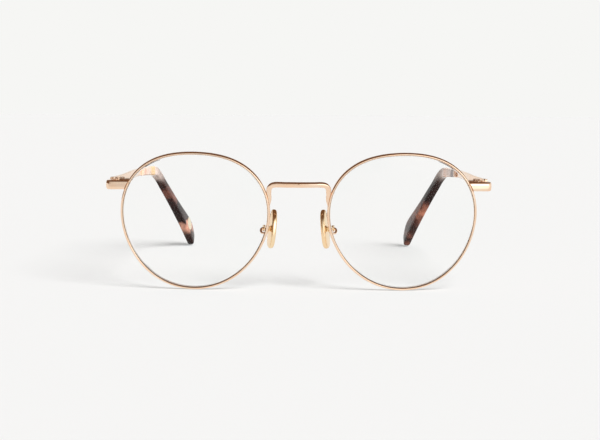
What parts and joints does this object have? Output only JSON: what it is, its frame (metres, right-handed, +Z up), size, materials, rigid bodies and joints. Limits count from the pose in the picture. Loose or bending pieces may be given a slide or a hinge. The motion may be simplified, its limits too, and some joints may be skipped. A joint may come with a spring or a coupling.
{
  "type": "eyeglasses",
  "caption": "Round metal eyeglasses with a flat bridge, metal nose pads, clear lenses and folding temples that end in tortoise acetate tips.",
  "frame": {"origin": "centre of the overall bounding box at floor level, with the temples open", "axes": "+X towards the wearer's left, +Y from the front back along the temples, +Z up"},
  "size_m": [0.1346, 0.1344, 0.0493],
  "materials": {
    "gold": "polished rose-gold plating",
    "pad_gold": "polished yellow-gold plating",
    "screw_gold": "plated, slightly darker",
    "inlay_gold": "satin pale gold",
    "lens": "clear, anti-reflection coated",
    "acetate": "polished dark tortoise, fading to beige at its front"
  },
  "bodies": {
    "front": {"bridge": "gold", "rim_left": "gold", "lens_left": "lens", "closing_block_upper_left": "gold", "closing_block_lower_left": "gold", "closing_screw_left": "screw_gold", "endpiece_left": "gold", "hinge_front_left": "gold", "hinge_screw_left": "screw_gold", "pad_arm_left": "gold", "pad_box_left": "gold", "pad_screw_left": "screw_gold", "rim_right": "gold", "lens_right": "lens", "closing_block_upper_right": "gold", "closing_block_lower_right": "gold", "closing_screw_right": "screw_gold", "endpiece_right": "gold", "hinge_front_right": "gold", "hinge_screw_right": "screw_gold", "pad_arm_right": "gold", "pad_box_right": "gold", "pad_screw_right": "screw_gold"},
    "left_temple": {"hinge_temple_left": "gold", "temple_bar_left": "gold", "temple_tip_left": "acetate"},
    "right_temple": {"hinge_temple_right": "gold", "temple_bar_right": "gold", "temple_tip_right": "acetate", "tip_inlay_right": "inlay_gold"},
    "left_pad": {"nose_pad_left": "pad_gold"},
    "right_pad": {"nose_pad_right": "pad_gold"}
  },
  "joints": [
    {"name": "left_temple_fold", "type": "hinge", "parent": "front", "child": "left_temple", "pos_m": [0.0642, -0.0543, 0.0374], "axis": [0, 0, 1], "range_deg": [0, 82]},
    {"name": "right_temple_fold", "type": "hinge", "parent": "front", "child": "right_temple", "pos_m": [-0.0642, -0.0543, 0.0374], "axis": [0, 0, -1], "range_deg": [0, 71]},
    {"name": "left_pad_rock", "type": "hinge", "parent": "front", "child": "left_pad", "pos_m": [0.01137, -0.05704, 0.02181], "axis": [0.2574, 0.9659, 0.0271], "range_deg": [-8, 8]},
    {"name": "right_pad_rock", "type": "hinge", "parent": "front", "child": "right_pad", "pos_m": [-0.01137, -0.05704, 0.02181], "axis": [-0.2574, 0.9659, 0.0271], "range_deg": [-8, 8]}
  ]
}
